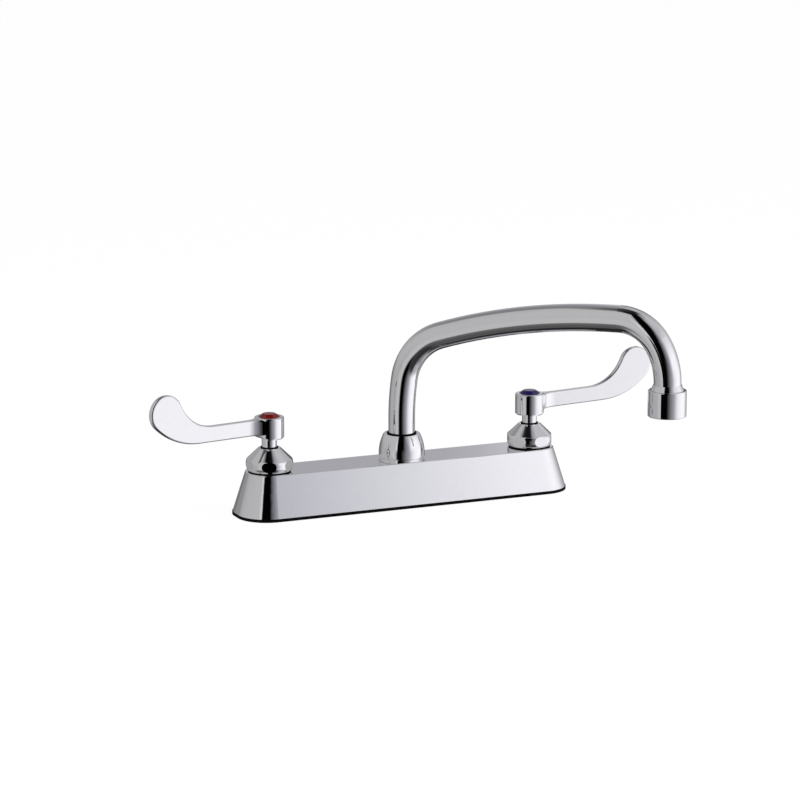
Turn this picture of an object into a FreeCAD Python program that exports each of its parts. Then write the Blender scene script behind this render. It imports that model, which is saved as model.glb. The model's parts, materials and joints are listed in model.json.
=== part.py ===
"""Deck-mounted two-handle faucet: a tapered base, wrist-blade handles and a swinging arc spout.

Millimetres, +Z up, +X to the right and -Y towards the user.
The origin is the middle of the gasket's underside, where the faucet stands on its deck.
The solids are built in the pose of the photograph.
"""
import FreeCAD, Part
import math
import os

Vector = FreeCAD.Vector

# Deck base: a hollow casting that spreads evenly from its top to its foot
inlet_centres = 203.2
base_end = 16.5
base_top_corner = 15.0
base_foot_corner = 21.5
base_height = 29.1
base_spread = 8.5
base_wall = 2.6
base_top_wall = 3.0
base_edge_round = 0.9
gasket_thickness = 2.2
gasket_overhang = 0.4

# Clearances: threads, brazed sockets, pieces that slip together, turning fits, overrun of cuts
thread_gap = 0.3
socket_gap = 0.05
slip_gap = 0.1
running_gap = 0.05
free_gap = 0.3
cut_margin = 1.0

# Valve bodies under the base, one at each inlet
inlet_radius = 9.6
inlet_depth = 11.0
inlet_wall = 3.4
inlet_floor = 1.4
inlet_way_radius = 4.5
cartridge_radius = 7.2
neck_wall = 2.1
neck_rise = 6.0
shoulder_width = 1.8
seat_depth = 10.6

# Cartridges
seal_thickness = 1.3
seal_width = 2.1
disc_radius = 5.7
disc_thickness = 2.7
disc_window_angle = 65.0
disc_window_radius = 4.3
disc_window_tip = 1.1
drive_thickness = 2.4
drive_width = 3.2
drive_depth = 1.2
cartridge_stem_radius = 4.0
cartridge_flange_thickness = 2.0
cartridge_boss_height = 1.8
cartridge_boss_radius = 7.2
cartridge_port_radius = 2.0
stem_ring_section = 1.0
stem_ring_height = 3.0

# Bonnets: barrels with a conical top and six flats, each on a thin ring
bonnet_ring_height = 1.0
bonnet_ring_inset = 0.4
bonnet_foot_radius = 15.5
bonnet_bulge_radius = 16.7
bonnet_bulge_height = 4.6
bonnet_shoulder_radius = 16.2
bonnet_shoulder_height = 8.8
bonnet_top_radius = 7.8
bonnet_height = 16.9
bonnet_shoulder_round = 2.2
bonnet_across_flats = 31.8
bonnet_edge_round = 0.4
bonnet_flat_count = 6
hot_bonnet_flat_angle = 248.0
cold_bonnet_flat_angle = 217.0

# Stems and handle hubs
stem_radius = 5.4
stem_show = 6.7
stem_wiper_width = 0.8
stem_wiper_height = 0.6
spline_radius = 4.0
spline_length = 9.0
spline_teeth = 12
spline_tooth_depth = 0.5
hub_radius = 10.5
hub_top_round = 1.1
hub_foot_chamfer = 0.9
hub_bevel_width = 5.0
hub_web = 1.6
screw_radius = 1.7
screw_head_radius = 3.4
screw_head_height = 2.2
screw_thread_length = 8.0
screw_slot_width = 0.9
screw_slot_depth = 1.1
button_radius = 7.6
button_top_radius = 4.6
button_rise = 2.2
button_plug_radius = 6.2
button_plug_depth = 2.4
button_edge_round = 0.5

# Wrist blades: a flat arm that sweeps up into a round paddle
handle_reach = 101.6
arm_height = 11.5
arm_foot = 3.1
arm_rise_angle = 1.4
blade_thickness = 4.2
blade_edge_round = 1.4
paddle_radius = 13.0
paddle_lift = 26.05
heel_radius = 54.0
throat_radius = 30.0
arm_root_radius = 17.0
hot_handle_angle = 196.0
cold_handle_angle = 3.5

# Crossover tubes and the spout's post
crossover_diameter = 7.94
crossover_wall = 1.0
crossover_drop = 0.6
crossover_socket_wall = 0.8
post_floor = 3.0
post_wall = 0.9
post_side_gap = 0.3
post_way_radius = 7.0
post_neck_rise = 9.0
swivel_gap = 0.075
swivel_ring_section = 1.8
lower_ring_height = 1.6
upper_ring_height = 5.6

# Spout nut and what it holds down
nut_wall = 3.6
nut_waist = 0.5
nut_height = 18.3
nut_rim_width = 0.9
nut_land = 2.2
nut_edge_round = 0.6
nut_ring_height = 1.4
nut_ring_inset = 1.0
wiper_seat = 0.9
wiper_show = 0.6
collar_height = 2.5
washer_thickness = 1.2

# Arc spout
tube_diameter = 19.05
tube_wall = 1.25
tube_insertion = 3.5
spout_reach = 203.2
spout_angle = -50.2
riser_ease_radius = 190.0
riser_ease_angle = 8.5
riser_bend_radius = 42.0
crown_rise_angle = 18.3
crown_end_angle = 0.6
outlet_bend_radius = 32.0
outlet_ease_radius = 49.4
outlet_ease_angle = 34.0
drop_length = 1.0
spout_height = 114.7

# Aerator
aerator_height = 18.4
aerator_wall = 1.7
aerator_lip = 2.4
aerator_lip_thickness = 1.5
aerator_edge_round = 0.7
adapter_cone_height = 3.6
adapter_cone_width = 1.9
adapter_lip = 0.3
adapter_wall = 1.725
adapter_thread_length = 8.0
adapter_ledge = 1.6
aerator_washer_thickness = 1.5
aerator_washer_width = 2.2
screen_thickness = 0.6
screen_hole_radius = 0.75
screen_hole_pitch = 2.4
insert_hole_radius = 1.1
insert_hole_count = 10
insert_hole_circle = 5.6

# Places and sizes that follow from the values above
base_top_z = gasket_thickness + base_height
inlet_x = inlet_centres / 2
neck_bore = cartridge_radius + slip_gap
neck_radius = neck_bore + neck_wall
valve_radius = neck_radius + shoulder_width
valve_foot_radius = inlet_radius + inlet_wall
inlet_top_z = gasket_thickness + inlet_depth
seat_z = base_top_z - seat_depth
shoulder_z = base_top_z - base_top_wall
neck_top_z = base_top_z + neck_rise
valve_hole = neck_radius + thread_gap

fixed_disc_z = seat_z + seal_thickness
moving_disc_z = fixed_disc_z + disc_thickness + running_gap
drive_z = moving_disc_z + disc_thickness + running_gap
drive_top_z = drive_z + drive_thickness
cartridge_roof_z = drive_top_z + free_gap
cartridge_top_z = neck_top_z + cartridge_flange_thickness + cartridge_boss_height
stem_shoulder_z = cartridge_top_z + free_gap
bonnet_top_z = base_top_z + bonnet_height
hub_foot_z = bonnet_top_z + stem_show
pocket_z = hub_foot_z + spline_length + free_gap + hub_web
hub_top_z = pocket_z + screw_head_height + button_plug_depth

crossover_radius = crossover_diameter / 2
crossover_z = shoulder_z - crossover_drop - crossover_radius
tube_radius = tube_diameter / 2
tube_foot_z = base_top_z - tube_insertion
post_bore = tube_radius + swivel_gap
swivel_ring_groove = post_bore + swivel_ring_section + 2 * slip_gap
post_neck_radius = swivel_ring_groove + post_wall
post_radius = post_neck_radius + shoulder_width
post_hole = post_neck_radius + thread_gap
base_top_length = inlet_centres + 2 * base_end
base_top_width = 2 * (post_radius + post_side_gap + base_wall)
post_foot_z = crossover_z - crossover_radius - post_floor
post_top_z = base_top_z + post_neck_rise
nut_bore = post_neck_radius + thread_gap
nut_radius = nut_bore + nut_wall
nut_lip_bore = tube_radius + free_gap
nut_rim_radius = nut_lip_bore + nut_rim_width
nut_foot_z = base_top_z + nut_ring_height
collar_z = post_top_z + free_gap
collar_radius = nut_bore - free_gap
washer_z = collar_z + collar_height + free_gap
nut_lip_z = washer_z + washer_thickness

outlet_turn = math.radians(outlet_ease_angle)
ease_fall = outlet_ease_radius * math.sin(outlet_turn)
outlet_fall = outlet_bend_radius * (1 - math.sin(outlet_turn)) + ease_fall
adapter_top_z = base_top_z + spout_height - outlet_fall - drop_length
aerator_top_z = adapter_top_z - adapter_cone_height
aerator_foot_z = aerator_top_z - aerator_height
adapter_bore = tube_radius + socket_gap
adapter_thread_radius = adapter_bore + adapter_wall
aerator_bore = adapter_thread_radius + thread_gap
aerator_radius = aerator_bore + aerator_wall
adapter_foot_z = aerator_top_z - adapter_thread_length
tube_end_z = adapter_foot_z + adapter_ledge
screen_z = aerator_foot_z + aerator_lip_thickness
insert_z = screen_z + screen_thickness
insert_top_z = adapter_foot_z - aerator_washer_thickness


# Building blocks

def cylinder(radius, low, high, x=0.0, y=0.0):
    return Part.makeCylinder(radius, high - low, Vector(x, y, low))


def ring(outer, inner, low, high, x=0.0):
    return cylinder(outer, low, high, x).cut(cylinder(inner, low - cut_margin, high + cut_margin, x))


def line(start, end):
    return Part.LineSegment(Vector(*start), Vector(*end)).toShape()


def arc(start, middle, end):
    return Part.Arc(Vector(*start), Vector(*middle), Vector(*end)).toShape()


def profile(steps):
    """A closed wire in the XZ plane. Each step is a (radius, height) point to draw a line to, or a pair
    of points to draw an arc to: its middle and its end."""
    edges = []
    at = steps[0]
    for step in list(steps[1:]) + [steps[0]]:
        if isinstance(step[0], tuple):
            middle, end = step
            edges.append(arc((at[0], 0, at[1]), (middle[0], 0, middle[1]), (end[0], 0, end[1])))
            at = end
        else:
            edges.append(line((at[0], 0, at[1]), (step[0], 0, step[1])))
            at = step
    return Part.Wire(edges)


def revolved(steps):
    return Part.Face(profile(steps)).revolve(Vector(0, 0, 0), Vector(0, 0, 1), 360)


def rounded_outline(length, width, corner, z):
    """A rectangle with round corners, as a wire at one height."""
    edges = []
    across, along = length / 2 - corner, width / 2 - corner
    centres = [(across, along), (-across, along), (-across, -along), (across, -along)]
    ends = []
    for quarter, (x, y) in enumerate(centres):
        points = []
        for turn in (0.0, 45.0, 90.0):
            angle = math.radians(90 * quarter + turn)
            points.append((x + corner * math.cos(angle), y + corner * math.sin(angle), z))
        edges.append(arc(*points))
        ends.append((points[0], points[2]))
    for quarter in range(4):
        edges.append(line(ends[quarter][1], ends[(quarter + 1) % 4][0]))
    return Part.Wire(Part.__sortEdges__(edges))


def base_outline(inset, z):
    """The base's outline at a height, drawn in by an inset."""
    fall = (base_top_z - z) / base_height
    grow = base_spread * fall - inset
    corner = base_top_corner + (base_foot_corner - base_top_corner) * fall - inset
    return rounded_outline(base_top_length + 2 * grow, base_top_width + 2 * grow, corner, z)


def edges_at_height(shape, z):
    return [e for e in shape.Edges if abs(e.BoundBox.ZMin - z) < 1e-4 and abs(e.BoundBox.ZMax - z) < 1e-4]


def turned(shape, angle, x=0.0):
    """Turns a shape about the Z axis, then moves it along X to its stem."""
    result = shape.copy()
    result.rotate(Vector(0, 0, 0), Vector(0, 0, 1), angle)
    result.translate(Vector(x, 0, 0))
    return result


# The base

def deck_body():
    outer = Part.makeLoft([base_outline(0, gasket_thickness), base_outline(0, base_top_z)], True, True)
    outer = outer.makeFillet(base_edge_round, edges_at_height(outer, base_top_z))
    inside = [base_outline(base_wall, gasket_thickness), base_outline(base_wall, shoulder_z)]
    hollow = Part.makeLoft(inside, True, True)
    body = outer.cut(hollow)
    for x in (-inlet_x, inlet_x):
        body = body.cut(cylinder(valve_hole, shoulder_z - cut_margin, base_top_z + cut_margin, x))
    return body.cut(cylinder(post_hole, shoulder_z - cut_margin, base_top_z + cut_margin))


def base_gasket():
    grow = base_spread + gasket_overhang
    length, width = base_top_length + 2 * grow, base_top_width + 2 * grow
    outline = rounded_outline(length, width, base_foot_corner + gasket_overhang, 0)
    plate = Part.Face(outline).extrude(Vector(0, 0, gasket_thickness))
    for x in (-inlet_x, inlet_x):
        hole = cylinder(valve_foot_radius + free_gap, -cut_margin, gasket_thickness + cut_margin, x)
        plate = plate.cut(hole)
    return plate


# Valves, built about the Z axis with their outlet towards +X

def valve_body():
    body = cylinder(valve_foot_radius, gasket_thickness, inlet_top_z + inlet_floor)
    body = body.fuse(cylinder(valve_radius, gasket_thickness, shoulder_z))
    body = body.fuse(cylinder(neck_radius, gasket_thickness, neck_top_z)).removeSplitter()
    body = body.cut(cylinder(inlet_radius, gasket_thickness - cut_margin, inlet_top_z))
    body = body.cut(cylinder(inlet_way_radius, inlet_top_z - cut_margin, seat_z + cut_margin))
    body = body.cut(cylinder(neck_bore, seat_z, neck_top_z + cut_margin))
    along = Vector(1, 0, 0)
    way_start = Vector(0, 0, crossover_z)
    way = Part.makeCylinder(crossover_radius - crossover_wall, valve_radius, way_start, along)
    socket_start = Vector(neck_bore + crossover_socket_wall, 0, crossover_z)
    socket = Part.makeCylinder(crossover_radius + socket_gap, valve_radius, socket_start, along)
    return body.cut(way).cut(socket)


def cartridge_housing():
    flange_top = neck_top_z + cartridge_flange_thickness
    body = cylinder(cartridge_radius, fixed_disc_z, neck_top_z)
    body = body.fuse(cylinder(neck_radius, neck_top_z, flange_top))
    body = body.fuse(cylinder(cartridge_boss_radius, flange_top, cartridge_top_z)).removeSplitter()
    body = body.cut(cylinder(disc_radius + slip_gap, fixed_disc_z - cut_margin, cartridge_roof_z))
    stem_bore = cartridge_stem_radius + running_gap
    body = body.cut(cylinder(stem_bore, fixed_disc_z, cartridge_top_z + cut_margin))
    port_reach = cartridge_radius + cut_margin
    start = Vector(-port_reach, 0, moving_disc_z + disc_thickness)
    port = Part.makeCylinder(cartridge_port_radius, 2 * port_reach, start, Vector(1, 0, 0))
    return body.cut(port)


def inlet_seal():
    return ring(disc_radius + slip_gap, disc_radius - seal_width, seat_z, fixed_disc_z)


def ceramic_disc(low):
    """A disc with two windows that line up when the valve is open."""
    disc = cylinder(disc_radius, low, low + disc_thickness)
    half = disc_window_angle / 2
    start_z = low - cut_margin
    for side in (0, 180):
        rim = []
        for turn in (side - half, side, side + half):
            angle = math.radians(turn)
            rim.append((disc_window_radius * math.cos(angle), disc_window_radius * math.sin(angle), start_z))
        middle = math.radians(side)
        tip = (disc_window_tip * math.cos(middle), disc_window_tip * math.sin(middle), start_z)
        window = Part.Face(Part.Wire([line(tip, rim[0]), arc(*rim), line(rim[2], tip)]))
        disc = disc.cut(window.extrude(Vector(0, 0, disc_thickness + 2 * cut_margin)))
    return disc


def moving_disc():
    """The upper disc, with a slot across its top for the stem's tongue."""
    top = moving_disc_z + disc_thickness
    slot_width = drive_width + 2 * slip_gap
    slot_reach = disc_radius + cut_margin
    slot = Part.makeBox(2 * slot_reach, slot_width, drive_depth + cut_margin)
    slot.translate(Vector(-slot_reach, -slot_width / 2, top - drive_depth))
    return turned(ceramic_disc(moving_disc_z), 90).cut(slot)


def stem():
    """The turning stem: a tongue in the disc, a shaft through the cartridge and a splined end."""
    groove_z = neck_top_z - stem_ring_height
    groove = stem_ring_section + 2 * slip_gap
    spline_top = hub_foot_z + spline_length
    body = cylinder(disc_radius - slip_gap, drive_z, drive_top_z)
    body = body.fuse(cylinder(cartridge_stem_radius, drive_z, stem_shoulder_z))
    body = body.fuse(cylinder(stem_radius, stem_shoulder_z, hub_foot_z))
    tongue = Part.makeBox(2 * disc_radius, drive_width, drive_depth + running_gap)
    tongue.translate(Vector(-disc_radius, -drive_width / 2, drive_z - drive_depth - running_gap + slip_gap))
    body = body.fuse(tongue.common(cylinder(disc_radius - slip_gap, drive_z - drive_depth, drive_z)))
    spline = cylinder(spline_radius, hub_foot_z, spline_top)
    for tooth in range(spline_teeth):
        angle = math.radians(360 * (tooth + 0.5) / spline_teeth)
        x, y = spline_radius * math.cos(angle), spline_radius * math.sin(angle)
        tooth_gap = cylinder(spline_tooth_depth, hub_foot_z - cut_margin, spline_top + cut_margin, x, y)
        spline = spline.cut(tooth_gap)
    body = body.fuse(spline)
    low, high = groove_z - groove / 2, groove_z + groove / 2
    body = body.cut(ring(cartridge_stem_radius + cut_margin, cartridge_stem_radius - groove, low, high))
    screw_end = pocket_z - screw_thread_length - free_gap
    return body.cut(cylinder(screw_radius + slip_gap, screw_end, spline_top + cut_margin)).removeSplitter()


def stem_ring():
    middle = cartridge_stem_radius - stem_ring_section / 2
    return Part.makeTorus(middle, stem_ring_section / 2, Vector(0, 0, neck_top_z - stem_ring_height))


def bonnet(flat_angle):
    """A barrel with a conical top, six flats and a bore that turns on the stem."""
    foot = (bonnet_foot_radius, bonnet_ring_height)
    bulge = (bonnet_bulge_radius, bonnet_bulge_height)
    shoulder = (bonnet_shoulder_radius, bonnet_shoulder_height)
    axis_foot, axis_top = (0.0, bonnet_ring_height), (0.0, bonnet_height)
    steps = [axis_foot, foot, (bulge, shoulder), (bonnet_top_radius, bonnet_height), axis_top]
    body = revolved(steps)
    body = body.makeFillet(bonnet_edge_round, edges_at_height(body, bonnet_height))
    body = body.makeFillet(bonnet_shoulder_round, edges_at_height(body, bonnet_shoulder_height))
    corner = bonnet_across_flats / 2 / math.cos(math.pi / bonnet_flat_count)
    points = []
    for side in range(bonnet_flat_count + 1):
        angle = 2 * math.pi * (side + 0.5) / bonnet_flat_count
        points.append(Vector(corner * math.cos(angle), corner * math.sin(angle), 0))
    prism = Part.Face(Part.makePolygon(points)).extrude(Vector(0, 0, bonnet_height))
    body = turned(body.common(prism), flat_angle)
    body.translate(Vector(0, 0, base_top_z))
    flange_top = neck_top_z + cartridge_flange_thickness
    body = body.cut(cylinder(neck_radius + thread_gap, base_top_z - cut_margin, flange_top))
    body = body.cut(cylinder(cartridge_boss_radius + slip_gap, base_top_z, stem_shoulder_z))
    return body.cut(cylinder(stem_radius + running_gap, base_top_z, bonnet_top_z + cut_margin))


def stem_wiper():
    """A soft lip around the stem, on the bonnet's top."""
    bore = stem_radius + running_gap
    return ring(bore + stem_wiper_width, bore, bonnet_top_z, bonnet_top_z + stem_wiper_height)


def bonnet_ring():
    ring_top = base_top_z + bonnet_ring_height
    return ring(bonnet_foot_radius - bonnet_ring_inset, neck_radius + thread_gap, base_top_z, ring_top)


# Handles, built about the Z axis with their blade towards +X

def blade_outline():
    """The blade's outline in the XZ plane, from the stem's axis out to the paddle.

    Along is measured on the arm's lower edge and up at right angles to it."""
    rise = math.radians(arm_rise_angle)
    foot_z = hub_foot_z + arm_foot

    def place(along, up):
        x = along * math.cos(rise) - up * math.sin(rise)
        return (x, 0, foot_z + along * math.sin(rise) + up * math.cos(rise))

    centre_x = handle_reach - paddle_radius
    centre_along = centre_x * math.cos(rise) + paddle_lift * math.sin(rise)
    centre_up = paddle_lift * math.cos(rise) - centre_x * math.sin(rise)
    heel_gap = heel_radius - paddle_radius
    heel_along = centre_along - math.sqrt(heel_gap ** 2 - (heel_radius - centre_up) ** 2)
    throat_up = arm_height + throat_radius
    throat_gap = throat_radius + paddle_radius
    throat_along = centre_along - math.sqrt(throat_gap ** 2 - (throat_up - centre_up) ** 2)
    heel_turn = math.atan2(centre_up - heel_radius, centre_along - heel_along)
    throat_turn = math.atan2(centre_up - throat_up, centre_along - throat_along)

    def on_circle(along, up, radius, angle):
        return place(along + radius * math.cos(angle), up + radius * math.sin(angle))

    straight_down = -math.pi / 2
    heel = [on_circle(heel_along, heel_radius, heel_radius, turn)
            for turn in (straight_down, (straight_down + heel_turn) / 2, heel_turn)]
    paddle_end = throat_turn + math.pi
    paddle = [on_circle(centre_along, centre_up, paddle_radius, turn)
              for turn in (heel_turn, (heel_turn + paddle_end) / 2, paddle_end)]
    throat = [on_circle(throat_along, throat_up, throat_radius, turn)
              for turn in (throat_turn, (throat_turn + straight_down) / 2, straight_down)]
    start_low, start_high = place(0, 0), place(0, arm_height)
    edges = [line(start_low, heel[0]), arc(*heel), arc(*paddle), arc(*throat), line(throat[2], start_high),
             line(start_high, start_low)]
    return Part.Wire(edges)


def crosses_arm(edge):
    """Tells edges that run across the arm's thickness or up its side from those along its rims."""
    middle = edge.valueAt((edge.FirstParameter + edge.LastParameter) / 2)
    return abs(middle.y) < blade_thickness / 4


def arm_plan():
    """The arm from above, as a wire at the hub's foot: it flares out to the hub in two hollows."""
    half = blade_thickness / 2
    centre_x = math.sqrt((hub_radius + arm_root_radius) ** 2 - (half + arm_root_radius) ** 2)
    centre_y = half + arm_root_radius
    share = hub_radius / (hub_radius + arm_root_radius)
    middle_turn = (math.atan2(-centre_y, -centre_x) - math.pi / 2) / 2
    middle_x = centre_x + arm_root_radius * math.cos(middle_turn)
    middle_y = centre_y + arm_root_radius * math.sin(middle_turn)
    touch_x, touch_y = centre_x * share, centre_y * share
    root = ((0, 0), (touch_x, touch_y), (middle_x, middle_y), (centre_x, half), (2 * handle_reach, half))
    sides = []
    for side in (1, -1):
        sides.append([(x, side * y, hub_foot_z) for x, y in root])
    edges = [line(sides[0][4], sides[1][4])]
    for axis, touch, middle, start, end in sides:
        edges += [line(axis, touch), arc(touch, middle, start), line(start, end)]
    return Part.Wire(Part.__sortEdges__(edges))


def blade_handle():
    side_view = Part.Face(blade_outline()).extrude(Vector(0, 2 * hub_radius, 0))
    side_view.translate(Vector(0, -hub_radius, 0))
    top_view = Part.Face(arm_plan()).extrude(Vector(0, 0, paddle_lift + handle_reach))
    plate = side_view.common(top_view)
    rims = [e for e in plate.Edges if e.BoundBox.XMax > hub_radius and not crosses_arm(e)]
    plate = plate.makeFillet(blade_edge_round, rims)
    hub = cylinder(hub_radius, hub_foot_z, hub_top_z)
    hub = hub.makeFillet(hub_top_round, edges_at_height(hub, hub_top_z))
    hub = hub.makeChamfer(hub_foot_chamfer, edges_at_height(hub, hub_foot_z))
    bevel_start = (hub_radius - hub_bevel_width, 0, hub_foot_z)
    bevel_end = (hub_radius, 0, hub_foot_z + arm_foot)
    outside = (hub_radius + cut_margin, 0, hub_foot_z + arm_foot)
    below = (hub_radius + cut_margin, 0, hub_foot_z - cut_margin)
    start_below = (hub_radius - hub_bevel_width, 0, hub_foot_z - cut_margin)
    corners = [bevel_start, bevel_end, outside, below, start_below, bevel_start]
    wedge = Part.Face(Part.makePolygon([Vector(*c) for c in corners])).extrude(Vector(0, 2 * hub_radius, 0))
    wedge.translate(Vector(0, -hub_radius, 0))
    handle = hub.cut(wedge).fuse(plate).removeSplitter()
    handle = handle.cut(cylinder(spline_radius + slip_gap, hub_foot_z - cut_margin, pocket_z - hub_web))
    handle = handle.cut(cylinder(screw_radius + slip_gap, hub_foot_z, pocket_z + cut_margin))
    return handle.cut(cylinder(button_plug_radius + slip_gap, pocket_z, hub_top_z + cut_margin))


def handle_screw():
    head_top = pocket_z + screw_head_height
    screw = cylinder(screw_radius, pocket_z - screw_thread_length, pocket_z)
    screw = screw.fuse(cylinder(screw_head_radius, pocket_z, head_top)).removeSplitter()
    slot_reach = screw_head_radius + cut_margin
    slot = Part.makeBox(2 * slot_reach, screw_slot_width, screw_slot_depth + cut_margin)
    slot.translate(Vector(-slot_reach, -screw_slot_width / 2, head_top - screw_slot_depth))
    return screw.cut(slot)


def index_button():
    """A low cone with a flat top, on a plug that snaps into the hub."""
    top = hub_top_z + button_rise
    steps = [(0.0, hub_top_z), (button_radius, hub_top_z), (button_top_radius, top), (0.0, top)]
    cap = revolved(steps)
    cap = cap.makeFillet(button_edge_round, edges_at_height(cap, top))
    return cap.fuse(cylinder(button_plug_radius, hub_top_z - button_plug_depth, hub_top_z)).removeSplitter()


# Crossovers and the spout's seat

def crossover_tube(side):
    start = inlet_x - neck_bore - crossover_socket_wall
    end = post_way_radius + crossover_socket_wall
    low = min(side * start, side * end)
    foot = Vector(low, 0, crossover_z)
    along = Vector(1, 0, 0)
    outer = Part.makeCylinder(crossover_radius, start - end, foot, along)
    return outer.cut(Part.makeCylinder(crossover_radius - crossover_wall, start - end, foot, along))


def spout_post():
    body = cylinder(post_radius, post_foot_z, shoulder_z)
    body = body.fuse(cylinder(post_neck_radius, post_foot_z, post_top_z)).removeSplitter()
    body = body.cut(cylinder(post_way_radius, crossover_z - crossover_radius, post_top_z + cut_margin))
    body = body.cut(cylinder(post_bore, tube_foot_z - free_gap, post_top_z + cut_margin))
    groove_half = swivel_ring_section / 2 + slip_gap
    for height in (lower_ring_height, upper_ring_height):
        middle = base_top_z + height
        low, high = middle - groove_half, middle + groove_half
        body = body.cut(ring(swivel_ring_groove, post_bore - cut_margin, low, high))
    for side in (-1, 1):
        along = Vector(side, 0, 0)
        way_start = Vector(0, 0, crossover_z)
        way_radius = crossover_radius - crossover_wall
        way = Part.makeCylinder(way_radius, post_radius + cut_margin, way_start, along)
        socket_start = Vector(side * (post_way_radius + crossover_socket_wall), 0, crossover_z)
        socket = Part.makeCylinder(crossover_radius + socket_gap, post_radius, socket_start, along)
        body = body.cut(way).cut(socket)
    return body


def swivel_ring(height):
    middle = post_bore + slip_gap + swivel_ring_section / 2
    return Part.makeTorus(middle, swivel_ring_section / 2, Vector(0, 0, base_top_z + height))


def nut_ring():
    return ring(nut_radius - nut_ring_inset, post_neck_radius + thread_gap, base_top_z, nut_foot_z)


def spout_nut():
    """A smooth barrel that screws onto the post and closes in around the tube."""
    low, high = nut_foot_z, base_top_z + nut_height
    waist = (nut_radius - nut_waist, (low + high) / 2)
    steps = [(nut_bore, low), (nut_radius, low), (waist, (nut_rim_radius + nut_land, high)),
             (nut_rim_radius, high), (nut_rim_radius, high - wiper_seat), (nut_lip_bore, high - wiper_seat),
             (nut_lip_bore, nut_lip_z), (nut_bore, nut_lip_z)]
    nut = revolved(steps)
    foot_rim = [e for e in edges_at_height(nut, low) if e.BoundBox.XMax > nut_bore + nut_wall / 2]
    return nut.makeFillet(nut_edge_round, foot_rim)


def spout_wiper():
    """A soft lip around the tube, seated in the nut's mouth."""
    top = base_top_z + nut_height
    return ring(nut_rim_radius - slip_gap, nut_lip_bore, top - wiper_seat, top + wiper_show)


def spout_washer():
    return ring(nut_bore - slip_gap, tube_radius + free_gap, washer_z, nut_lip_z)


# The spout, built in the XZ plane with its outlet towards +X

def spout_path():
    """The tube's centre line: riser, bend, shallow crown, bend and drop. Each bend eases into its leg."""
    upright = math.pi / 2
    headings = [upright, upright - math.radians(riser_ease_angle), math.radians(crown_rise_angle),
                math.radians(crown_end_angle), outlet_turn - upright, -upright]
    turns = list(zip(headings, headings[1:]))
    runs = [math.sin(first) - math.sin(last) for first, last in turns]
    climbs = [math.cos(last) - math.cos(first) for first, last in turns]
    bends = [riser_ease_radius, riser_bend_radius, 0, outlet_bend_radius, outlet_ease_radius]
    crown_run = spout_reach - sum(radius * run for radius, run in zip(bends, runs))
    radii = bends[:2] + [crown_run / runs[2]] + bends[3:]
    riser_top_z = adapter_top_z + drop_length - sum(radius * climb for radius, climb in zip(radii, climbs))

    def bend(start, radius, first, last):
        """An arc that turns to the right, from one heading to the next, as three points."""
        points = []
        for heading in (first, (first + last) / 2, last):
            x = start[0] + radius * (math.sin(first) - math.sin(heading))
            z = start[2] + radius * (math.cos(heading) - math.cos(first))
            points.append((x, 0, z))
        return points

    at = (0, 0, riser_top_z)
    edges = [line((0, 0, tube_foot_z), at)]
    for radius, (first, last) in zip(radii, turns):
        points = bend(at, radius, first, last)
        edges.append(arc(*points))
        at = points[2]
    edges.append(line(at, (at[0], 0, tube_end_z)))
    return Part.Wire(edges)


def spout_tube():
    path = spout_path()

    def swept(radius):
        section = Part.Wire(Part.makeCircle(radius, Vector(0, 0, tube_foot_z), Vector(0, 0, 1)))
        return path.makePipeShell([section], True, False)

    return swept(tube_radius).cut(swept(tube_radius - tube_wall))


def spout_collar():
    return ring(collar_radius, tube_radius + socket_gap, collar_z, collar_z + collar_height)


def outlet_adapter():
    """The brazed end of the tube: a short cone above the aerator and a thread inside it."""
    ledge_bore = tube_radius - tube_wall
    steps = [(adapter_bore, adapter_top_z), (adapter_bore, tube_end_z), (ledge_bore, tube_end_z),
             (ledge_bore, adapter_foot_z), (adapter_thread_radius, adapter_foot_z),
             (adapter_thread_radius, aerator_top_z), (tube_radius + adapter_cone_width, aerator_top_z),
             (adapter_bore + adapter_lip, adapter_top_z)]
    return revolved(steps)


def aerator_housing():
    lip = aerator_radius - aerator_wall - aerator_lip
    steps = [(aerator_bore, aerator_top_z), (aerator_bore, screen_z), (lip, screen_z), (lip, aerator_foot_z),
             (aerator_radius, aerator_foot_z), (aerator_radius, aerator_top_z)]
    shell = revolved(steps)
    outer_rims = [e for z in (aerator_foot_z, aerator_top_z) for e in edges_at_height(shell, z)
                  if abs(e.BoundBox.XMax - aerator_radius) < 1e-4]
    return shell.makeFillet(aerator_edge_round, outer_rims)


def aerator_washer():
    outer = aerator_bore - slip_gap
    return ring(outer, outer - aerator_washer_width, insert_top_z, adapter_foot_z)


def aerator_insert():
    body = cylinder(aerator_bore - slip_gap, insert_z, insert_top_z)
    for hole in range(insert_hole_count):
        angle = 2 * math.pi * hole / insert_hole_count
        x, y = insert_hole_circle * math.cos(angle), insert_hole_circle * math.sin(angle)
        hole_low, hole_high = insert_z - cut_margin, insert_top_z + cut_margin
        body = body.cut(cylinder(insert_hole_radius, hole_low, hole_high, x, y))
    return body


def aerator_screen():
    """A thin plate with a hexagonal field of holes."""
    plate = cylinder(aerator_bore - slip_gap, screen_z, insert_z)
    field = aerator_bore - aerator_lip - screen_hole_pitch / 2
    rows = int(field / screen_hole_pitch) + 1
    low, high = screen_z - cut_margin, insert_z + cut_margin
    holes = []
    for row in range(-rows, rows + 1):
        for column in range(-rows, rows + 1):
            x = screen_hole_pitch * (column + row / 2)
            y = screen_hole_pitch * row * math.sqrt(3) / 2
            if math.hypot(x, y) < field:
                holes.append(cylinder(screen_hole_radius, low, high, x, y))
    return plate.cut(Part.makeCompound(holes))


# The assembly: each node's solid in its place

def outlet_piece(shape):
    """Moves a piece built about the Z axis to the spout's outlet, then swings it with the spout."""
    moved = shape.copy()
    moved.translate(Vector(spout_reach, 0, 0))
    return turned(moved, spout_angle)


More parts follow.
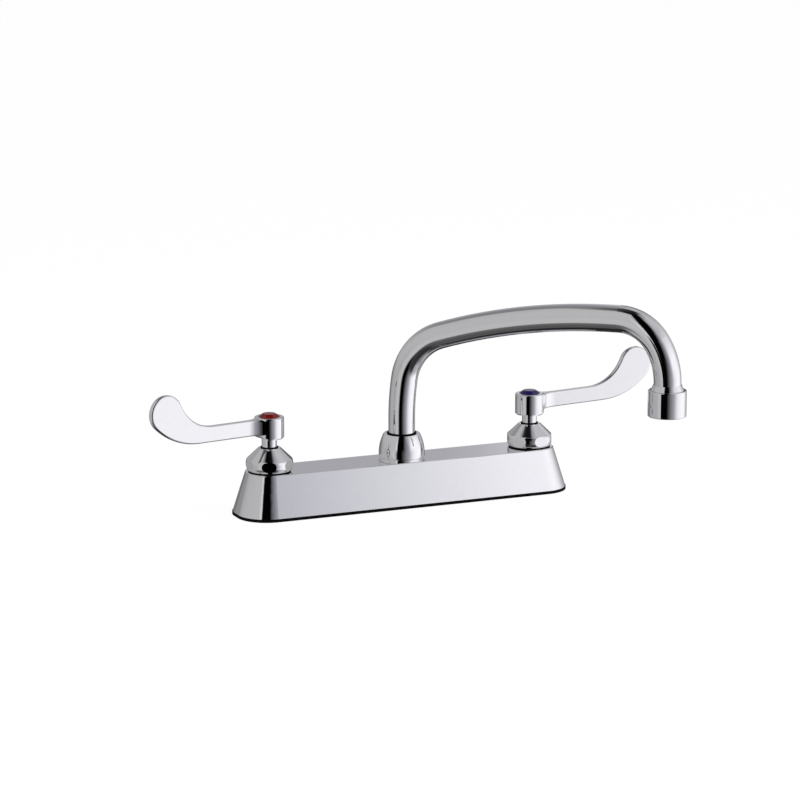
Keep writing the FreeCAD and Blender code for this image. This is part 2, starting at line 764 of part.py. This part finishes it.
def valve_side(name, side, flat_angle, handle_angle):
    x = side * inlet_x
    outlet_angle = 0 if side < 0 else 180
    fixed = {
        "bonnet_ring": bonnet_ring(),
        "stem_wiper": stem_wiper(),
        "valve_body": valve_body(),
        "cartridge_housing": cartridge_housing(),
        "inlet_seal": inlet_seal(),
        "fixed_disc": ceramic_disc(fixed_disc_z),
    }
    turning = {
        "moving_disc": moving_disc(),
        "stem": stem(),
        "stem_ring": stem_ring(),
        "blade_handle": blade_handle(),
        "handle_screw": handle_screw(),
        "index_button": index_button(),
    }
    nodes = {name + "_bonnet": turned(bonnet(flat_angle), 0, x)}
    nodes[name + "_crossover_tube"] = crossover_tube(side)
    for piece, shape in fixed.items():
        nodes[name + "_" + piece] = turned(shape, outlet_angle, x)
    for piece, shape in turning.items():
        nodes[name + "_" + piece] = turned(shape, handle_angle, x)
    return nodes


def assembly():
    nodes = {
        "deck_body": deck_body(),
        "base_gasket": base_gasket(),
        "spout_post": spout_post(),
        "lower_swivel_ring": swivel_ring(lower_ring_height),
        "upper_swivel_ring": swivel_ring(upper_ring_height),
        "nut_ring": nut_ring(),
        "spout_nut": spout_nut(),
        "spout_wiper": spout_wiper(),
        "spout_washer": spout_washer(),
        "spout_tube": turned(spout_tube(), spout_angle),
        "spout_collar": turned(spout_collar(), spout_angle),
    }
    for piece in (outlet_adapter, aerator_housing, aerator_washer, aerator_insert, aerator_screen):
        nodes[piece.__name__] = outlet_piece(piece())
    nodes.update(valve_side("hot", -1, hot_bonnet_flat_angle, hot_handle_angle))
    nodes.update(valve_side("cold", 1, cold_bonnet_flat_angle, cold_handle_angle))
    return nodes


os.makedirs("parts", exist_ok=True)
for node, shape in assembly().items():
    state = "valid" if shape.isValid() else "INVALID"
    print(node, len(shape.Solids), "solid(s)", round(shape.Volume / 1000, 2), "cm3", state)
    shape.exportStep("parts/" + node + ".step")
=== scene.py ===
"""Looks of the deck-mounted faucet: polished chrome in a plain studio, seen as it was photographed.

Metres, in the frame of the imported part: +X to the right, -Y towards the user, +Z up.
Angles around the part are in degrees, 0 towards the user and positive towards +X.
"""
import json
import math

import bmesh
import bpy
from mathutils import Matrix, Vector


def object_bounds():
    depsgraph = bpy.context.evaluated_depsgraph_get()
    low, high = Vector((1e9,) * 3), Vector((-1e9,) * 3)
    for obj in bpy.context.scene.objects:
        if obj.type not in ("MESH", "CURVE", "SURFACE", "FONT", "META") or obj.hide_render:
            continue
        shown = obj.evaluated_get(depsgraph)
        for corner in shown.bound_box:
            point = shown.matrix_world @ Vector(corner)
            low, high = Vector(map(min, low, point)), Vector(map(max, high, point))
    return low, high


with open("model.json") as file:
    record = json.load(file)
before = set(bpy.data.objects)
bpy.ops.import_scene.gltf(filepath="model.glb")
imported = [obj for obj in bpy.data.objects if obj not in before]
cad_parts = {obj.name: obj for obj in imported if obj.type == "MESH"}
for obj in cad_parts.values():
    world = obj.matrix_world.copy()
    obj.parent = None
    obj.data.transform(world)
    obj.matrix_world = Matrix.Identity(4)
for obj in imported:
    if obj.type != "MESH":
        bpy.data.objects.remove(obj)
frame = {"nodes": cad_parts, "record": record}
cad_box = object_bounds()

# Camera of the photograph, fitted to the part's edges
camera_azimuth = math.radians(23.63)
camera_elevation = math.radians(11.81)
camera_distance = 2.2423
camera_lens = 140.3
camera_sensor = 36.0
target_across = -0.00119
target_up = 0.0720

# Floor and world
floor_size = 14.0
floor_glow = 0.94
floor_grey = 0.95
world_fill = 0.82

# Walls of the studio, a sphere that shows only in the chrome
tent_radius = 2.0
tent_centre = 0.08
tent_segments = 96
tent_rings = 48

# Dark oval card, which shows only in the chrome
card_place = (-0.31, -0.42, 0.0)
card_half_width = 0.07
card_half_height = 0.15
card_segments = 48

# Square lamps: place, side and power
key_lamp = ((1.3, -0.9, 1.4), 1.0, 16.0)
fill_lamp = ((-1.4, -0.8, 1.2), 1.2, 10.0)

# Span that most values of a noise pattern lie in
noise_span = (0.3, 0.7)

# Dark and light shades of the index buttons
red_shades = ((0.09, 0.001, 0.001), (0.14, 0.003, 0.002))
blue_shades = ((0.006, 0.005, 0.050), (0.012, 0.010, 0.080))

# Degrees of a turn
half_turn = 180
full_turn = 360

# Brightness of the studio's walls in seven bands, from the ground up: angle around the part, brightness
ground_band = [
    (-180, 0.02),
    (-130, 0.02),
    (-110, 0.10),
    (-78, 0.09),
    (-62, 0.07),
    (-48, 0.03),
    (15, 0.04),
    (40, 0.25),
    (95, 0.22),
    (120, 0.10),
    (150, 0.04),
    (180, 0.02),
]
low_band = [
    (-180, 0.02),
    (-165, 0.03),
    (-150, 0.12),
    (-138, 0.35),
    (-125, 0.52),
    (-112, 0.40),
    (-92, 0.15),
    (-70, 0.12),
    (-60, 0.10),
    (-50, 0.05),
    (15, 0.03),
    (24, 0.20),
    (34, 0.42),
    (60, 0.52),
    (95, 0.45),
    (115, 0.25),
    (135, 0.06),
    (180, 0.02),
]
level_band = [
    (-180, 0.20),
    (-160, 0.20),
    (-145, 0.36),
    (-130, 0.44),
    (-88, 0.45),
    (-74, 0.54),
    (-58, 0.58),
    (-51, 0.32),
    (-46, 0.001),
    (-24, 0.001),
    (-20, 0.04),
    (-13, 0.09),
    (-4, 0.21),
    (5, 0.31),
    (14, 0.41),
    (23, 0.62),
    (32, 0.84),
    (41, 1.00),
    (60, 1.12),
    (82, 1.14),
    (95, 0.84),
    (104, 0.60),
    (116, 0.46),
    (126, 0.40),
    (136, 0.12),
    (152, 0.09),
    (180, 0.20),
]
upper_band = [
    (-180, 0.40),
    (-150, 0.48),
    (-56, 0.53),
    (-53, 0.72),
    (-47, 0.72),
    (-45, 0.001),
    (-14, 0.001),
    (-11, 0.06),
    (-5, 0.15),
    (4, 0.26),
    (11, 0.38),
    (15, 0.48),
    (18.5, 0.59),
    (24, 0.83),
    (29, 1.04),
    (60, 1.12),
    (76, 1.02),
    (88, 0.78),
    (100, 0.60),
    (112, 0.52),
    (124, 0.54),
    (132, 0.12),
    (146, 0.12),
    (149, 0.70),
    (152, 0.60),
    (154, 0.46),
    (158, 0.44),
    (180, 0.40),
]
high_band = [
    (-180, 0.24),
    (-154, 0.24),
    (-142, 0.48),
    (-92, 0.53),
    (-52, 0.53),
    (-46, 0.42),
    (-42, 0.001),
    (-7, 0.001),
    (2, 0.25),
    (14, 0.48),
    (27, 0.52),
    (60, 0.58),
    (95, 0.57),
    (115, 0.46),
    (130, 0.50),
    (145, 0.50),
    (160, 0.34),
    (180, 0.24),
]
top_band = [
    (-180, 0.05),
    (-120, 0.06),
    (-70, 0.001),
    (2, 0.001),
    (18, 0.12),
    (35, 0.35),
    (60, 0.42),
    (80, 0.25),
    (105, 0.03),
    (150, 0.04),
    (180, 0.05),
]
zenith_band = [
    (-180, 0.04),
    (-90, 0.01),
    (90, 0.01),
    (180, 0.04),
]

# Heights in degrees over which each band takes over from the one below it
low_edge = (-60.0, -50.0)
level_edge = (-41.0, -31.0)
upper_edge = (-4.0, 8.0)
high_edge = (15.0, 44.0)
top_edge = (64.0, 72.0)
zenith_edge = (75.0, 81.0)

# Tints of the studio's walls: angle, then the shares of red and green in a light whose blue is 1
wall_tints = [
    (-180, 0.94, 0.93),
    (-150, 0.985, 0.985),
    (-20, 0.985, 0.985),
    (-14, 0.90, 0.905),
    (16, 0.90, 0.905),
    (29, 0.965, 0.957),
    (125, 0.97, 0.96),
    (145, 0.94, 0.93),
    (180, 0.94, 0.93),
]


# Node building blocks

def add(tree, kind, settings=(), **sockets):
    """Adds a node, sets its properties and sets or links its input sockets by name."""
    node = tree.nodes.new(kind)
    for name, value in dict(settings).items():
        setattr(node, name, value)
    for name, value in sockets.items():
        plug(tree, node.inputs[name.replace("_", " ")], value)
    return node


def plug(tree, socket, value):
    """Links an output to a socket, or sets the socket to a plain value."""
    if isinstance(value, bpy.types.NodeSocket):
        tree.links.new(value, socket)
    else:
        socket.default_value = value


def maths(tree, operation, *values):
    """The result of a math node."""
    node = add(tree, "ShaderNodeMath", {"operation": operation})
    for socket, value in zip(node.inputs, values):
        plug(tree, socket, value)
    return node.outputs[0]


def remap(tree, value, low, high, to_low=0.0, to_high=1.0):
    """A value taken from one range to another, and held within it."""
    node = add(tree, "ShaderNodeMapRange", Value=value)
    limits = (low, high, to_low, to_high)
    for name, limit in zip(("From Min", "From Max", "To Min", "To Max"), limits):
        node.inputs[name].default_value = limit
    return node.outputs[0]


def ramp(tree, value, stops):
    """A colour ramp from (position, colour) stops."""
    node = add(tree, "ShaderNodeValToRGB", Fac=value)
    elements = node.color_ramp.elements
    while len(elements) < len(stops):
        elements.new(0.5)
    for element, (position, colour) in zip(elements, stops):
        element.position = position
        element.color = (*colour, 1.0)
    return node.outputs["Color"]


def new_material(name):
    material = bpy.data.materials.new(name)
    material.use_nodes = True
    material.node_tree.nodes.clear()
    return material, material.node_tree


def noise(tree, waves, detail=2.0, stretch=None):
    """Noise in the object's own coordinates, with so many waves in a unit of length."""
    place = add(tree, "ShaderNodeTexCoord").outputs["Object"]
    if stretch:
        mapping = add(tree, "ShaderNodeMapping", Vector=place)
        mapping.inputs["Scale"].default_value = stretch
        place = mapping.outputs["Vector"]
    return add(tree, "ShaderNodeTexNoise", Vector=place, Scale=waves, Detail=detail).outputs["Fac"]


def colours(tree, pattern, dark, light):
    """A colour that follows a noise pattern."""
    return ramp(tree, pattern, list(zip(noise_span, (dark, light))))


def roughness(tree, pattern, smooth, rough):
    """A roughness that follows a noise pattern."""
    return remap(tree, pattern, *noise_span, smooth, rough)


def bump(tree, height, depth):
    """A bump whose full height is depth metres."""
    return add(tree, "ShaderNodeBump", Height=height, Strength=1.0, Distance=depth).outputs["Normal"]


def surface(tree, shader):
    add(tree, "ShaderNodeOutputMaterial", Surface=shader)


def principled(tree, **sockets):
    return add(tree, "ShaderNodeBsdfPrincipled", **sockets)


# Finishes, one for each slot of the record

def chrome():
    """Bright plating over buffed metal: near mirror, with a faint waviness and uneven polish."""
    material, tree = new_material("chrome_plate")
    wave = noise(tree, waves=70.0, detail=1.0)
    polish = noise(tree, waves=260.0, detail=3.0)
    colour = colours(tree, polish, dark=(0.860, 0.860, 0.868), light=(0.880, 0.880, 0.888))
    rough = roughness(tree, polish, smooth=0.014, rough=0.030)
    relief = bump(tree, wave, depth=2e-6)
    shader = principled(tree, Base_Color=colour, Metallic=1.0, Roughness=rough, Normal=relief)
    surface(tree, shader.outputs[0])
    return material


def brass():
    """Cast and turned brass with fine turning lines and uneven tarnish."""
    material, tree = new_material("turned_brass")
    lines = noise(tree, waves=40.0, stretch=(1.0, 1.0, 60.0))
    tarnish = noise(tree, waves=130.0, detail=4.0)
    colour = colours(tree, tarnish, dark=(0.58, 0.42, 0.19), light=(0.74, 0.57, 0.30))
    rough = roughness(tree, lines, smooth=0.22, rough=0.38)
    relief = bump(tree, lines, depth=2e-5)
    shader = principled(tree, Base_Color=colour, Metallic=1.0, Roughness=rough, Normal=relief)
    surface(tree, shader.outputs[0])
    return material


def rubber():
    """Matte black rubber with a fine grain."""
    material, tree = new_material("black_rubber")
    grain = noise(tree, waves=1500.0, detail=3.0)
    colour = colours(tree, grain, dark=(0.0008, 0.0008, 0.0008), light=(0.002, 0.002, 0.002))
    rough = roughness(tree, grain, smooth=0.62, rough=0.78)
    relief = bump(tree, grain, depth=3e-5)
    shader = principled(tree, Base_Color=colour, Roughness=rough, Normal=relief, Specular_IOR_Level=0.1)
    surface(tree, shader.outputs[0])
    return material


def ceramic():
    """Lapped alumina: off-white, with a faint mottle under a smooth face."""
    material, tree = new_material("lapped_ceramic")
    mottle = noise(tree, waves=420.0, detail=4.0)
    colour = colours(tree, mottle, dark=(0.80, 0.77, 0.70), light=(0.90, 0.88, 0.83))
    rough = roughness(tree, mottle, smooth=0.14, rough=0.22)
    shader = principled(tree, Base_Color=colour, Roughness=rough)
    surface(tree, shader.outputs[0])
    return material


def nylon():
    """Moulded white nylon, slightly waxy, with a fine mould texture."""
    material, tree = new_material("moulded_nylon")
    grain = noise(tree, waves=700.0, detail=3.0)
    colour = colours(tree, grain, dark=(0.80, 0.80, 0.77), light=(0.88, 0.88, 0.86))
    rough = roughness(tree, grain, smooth=0.42, rough=0.55)
    relief = bump(tree, grain, depth=1e-5)
    shader = principled(tree, Base_Color=colour, Roughness=rough, Normal=relief)
    surface(tree, shader.outputs[0])
    return material


def steel():
    """Stainless steel with fine brushing along X."""
    material, tree = new_material("brushed_stainless")
    brushing = noise(tree, waves=60.0, detail=3.0, stretch=(1.0, 70.0, 70.0))
    colour = colours(tree, brushing, dark=(0.52, 0.52, 0.53), light=(0.66, 0.66, 0.67))
    rough = roughness(tree, brushing, smooth=0.24, rough=0.40)
    relief = bump(tree, brushing, depth=1e-5)
    shader = principled(tree, Base_Color=colour, Metallic=1.0, Roughness=rough, Normal=relief)
    surface(tree, shader.outputs[0])
    return material


def button_plastic(name, dark, light):
    """Glossy moulded plastic with a faint flow pattern under a clear skin."""
    material, tree = new_material(name)
    flow = noise(tree, waves=500.0, detail=3.0)
    colour = colours(tree, flow, dark, light)
    rough = roughness(tree, flow, smooth=0.10, rough=0.18)
    relief = bump(tree, flow, depth=4e-6)
    shader = principled(tree, Base_Color=colour, Roughness=rough, Normal=relief)
    surface(tree, shader.outputs[0])
    return material


def dress_nodes():
    """Gives every node the finish of its slot in the record."""
    finishes = {
        "chrome": chrome(),
        "brass": brass(),
        "rubber": rubber(),
        "ceramic": ceramic(),
        "nylon": nylon(),
        "steel": steel(),
        "button_red": button_plastic("red_button", *red_shades),
        "button_blue": button_plastic("blue_button", *blue_shades),
    }
    for subpart in frame["record"]["subparts"]:
        mesh = frame["nodes"][subpart["node"]].data
        mesh.materials.clear()
        mesh.materials.append(finishes[subpart["material_slot"]])


# Studio: floor, world, reflected walls and lamps

def seen_directly(tree):
    """1 for camera, mirror and transmitted rays, 0 for rays that only light the part."""
    path = add(tree, "ShaderNodeLightPath")
    sharp = maths(tree, "MAXIMUM", path.outputs["Is Glossy Ray"], path.outputs["Is Transmission Ray"])
    return maths(tree, "MAXIMUM", path.outputs["Is Camera Ray"], sharp)


def mesh_object(name, shape):
    """An object made from a bmesh, which is freed."""
    mesh = bpy.data.meshes.new(name)
    shape.to_mesh(mesh)
    shape.free()
    piece = bpy.data.objects.new(name, mesh)
    bpy.context.scene.collection.objects.link(piece)
    return piece


def glossy_only(piece):
    """Hides a piece from everything but mirror reflections."""
    piece.visible_camera = False
    piece.visible_diffuse = False
    piece.visible_transmission = False
    piece.visible_volume_scatter = False
    piece.visible_shadow = False


def studio_floor():
    """A white floor that glows enough to match the white world, and still takes the part's shadow."""
    shape = bmesh.new()
    bmesh.ops.create_grid(shape, x_segments=1, y_segments=1, size=floor_size / 2)
    floor = mesh_object("studio_floor", shape)
    floor.location.z = cad_box[0].z
    floor.visible_glossy = False
    material, tree = new_material("white_floor")
    paper = add(tree, "ShaderNodeBsdfDiffuse", Color=(floor_grey, floor_grey, floor_grey, 1.0))
    glow = add(tree, "ShaderNodeEmission", Strength=1.0)
    share = maths(tree, "MULTIPLY", seen_directly(tree), floor_glow)
    mix = add(tree, "ShaderNodeMixShader", Fac=share)
    plug(tree, mix.inputs[1], paper.outputs[0])
    plug(tree, mix.inputs[2], glow.outputs[0])
    surface(tree, mix.outputs[0])
    floor.data.materials.append(material)


def studio_world():
    """White where it is seen or mirrored, and a little dimmer as light on the part."""
    world = bpy.data.worlds.new("white_studio")
    world.use_nodes = True
    tree = world.node_tree
    tree.nodes.clear()
    strength = remap(tree, seen_directly(tree), 0.0, 1.0, world_fill, 1.0)
    background = add(tree, "ShaderNodeBackground", Color=(1.0, 1.0, 1.0, 1.0), Strength=strength)
    add(tree, "ShaderNodeOutputWorld", Surface=background.outputs[0])
    bpy.context.scene.world = world


def wall_tint(angle):
    """The colour of the studio's walls at an angle, between the two nearest tints."""
    for (start, *before), (end, *after) in zip(wall_tints, wall_tints[1:]):
        if start <= angle <= end:
            share = (angle - start) / (end - start)
            red, green = (low + share * (high - low) for low, high in zip(before, after))
            return (red, green, 1.0)


def band_stops(band):
    """Colour ramp stops from a band's (angle, brightness) list."""
    stops = []
    for angle, bright in band:
        colour = tuple(bright * share for share in wall_tint(angle))
        stops.append(((angle + half_turn) / full_turn, colour))
    return stops


def studio_tent():
    """The walls as the chrome sees them: grey panels, a dark gap beside the camera and a bright side."""
    shape = bmesh.new()
    bmesh.ops.create_uvsphere(shape, u_segments=tent_segments, v_segments=tent_rings, radius=tent_radius)
    tent = mesh_object("studio_tent", shape)
    tent.location.z = tent_centre
    glossy_only(tent)
    material, tree = new_material("studio_walls")
    place = add(tree, "ShaderNodeTexCoord").outputs["Object"]
    unit = add(tree, "ShaderNodeVectorMath", {"operation": "NORMALIZE"})
    plug(tree, unit.inputs[0], place)
    parts = add(tree, "ShaderNodeSeparateXYZ", Vector=unit.outputs[0]).outputs
    towards_user = maths(tree, "MULTIPLY", parts["Y"], -1.0)
    angle = remap(tree, maths(tree, "ARCTAN2", parts["X"], towards_user), -math.pi, math.pi)
    height = maths(tree, "ARCSINE", parts["Z"])
    light = ramp(tree, angle, band_stops(ground_band))
    bands = (low_band, level_band, upper_band, high_band, top_band, zenith_band)
    edges = (low_edge, level_edge, upper_edge, high_edge, top_edge, zenith_edge)
    for band, edge in zip(bands, edges):
        low, high = (math.radians(limit) for limit in edge)
        mix = add(tree, "ShaderNodeMixRGB", Fac=remap(tree, height, low, high), Color1=light)
        plug(tree, mix.inputs["Color2"], ramp(tree, angle, band_stops(band)))
        light = mix.outputs["Color"]
    glow = add(tree, "ShaderNodeEmission", Color=light, Strength=1.0)
    surface(tree, glow.outputs[0])
    tent.data.materials.append(material)


def dark_card():
    """A dark oval card to the left of the camera's line of sight, seen only in the chrome."""
    shape = bmesh.new()
    bmesh.ops.create_circle(shape, cap_ends=True, segments=card_segments, radius=1.0)
    card = mesh_object("dark_card", shape)
    card.scale = (card_half_width, card_half_height, 1.0)
    card.location = card_place
    aim = Vector((0.0, 0.0, card_place[2])) - Vector(card_place)
    card.rotation_euler = aim.to_track_quat("Z", "Y").to_euler()
    glossy_only(card)
    material, tree = new_material("dark_cloth")
    weave = noise(tree, waves=8.0)
    colour = colours(tree, weave, dark=(0.0, 0.0, 0.0), light=(0.001, 0.001, 0.001))
    surface(tree, add(tree, "ShaderNodeEmission", Color=colour, Strength=1.0).outputs[0])
    card.data.materials.append(material)


def soft_lamp(name, place, size, power):
    """A square lamp that faces the part and doesn't show in its reflections."""
    lamp = bpy.data.lights.new(name, "AREA")
    lamp.size = size
    lamp.energy = power
    holder = bpy.data.objects.new(name, lamp)
    holder.location = place
    aim = Vector((0.0, 0.0, tent_centre)) - Vector(place)
    holder.rotation_euler = aim.to_track_quat("-Z", "Y").to_euler()
    holder.visible_glossy = False
    bpy.context.scene.collection.objects.link(holder)


def photograph_camera():
    """The camera stands in front of the part, to its left and a little above it."""
    turn, tilt = camera_azimuth, camera_elevation
    right = Vector((math.cos(turn), -math.sin(turn), 0.0))
    level = Vector((math.sin(turn), math.cos(turn), 0.0))
    forward = math.cos(tilt) * level - Vector((0.0, 0.0, math.sin(tilt)))
    up = right.cross(forward)
    target = target_across * right + target_up * up
    data = bpy.data.cameras.new("photograph_camera")
    data.lens = camera_lens
    data.sensor_width = camera_sensor
    camera = bpy.data.objects.new("photograph_camera", data)
    turned = Matrix((right, up, -forward)).transposed().to_4x4()
    camera.matrix_world = Matrix.Translation(target - camera_distance * forward) @ turned
    bpy.context.scene.collection.objects.link(camera)
    bpy.context.scene.camera = camera


dress_nodes()
studio_floor()
studio_world()
studio_tent()
dark_card()
soft_lamp("key_lamp", *key_lamp)
soft_lamp("fill_lamp", *fill_lamp)
photograph_camera()
bpy.context.scene.view_settings.view_transform = "Standard"
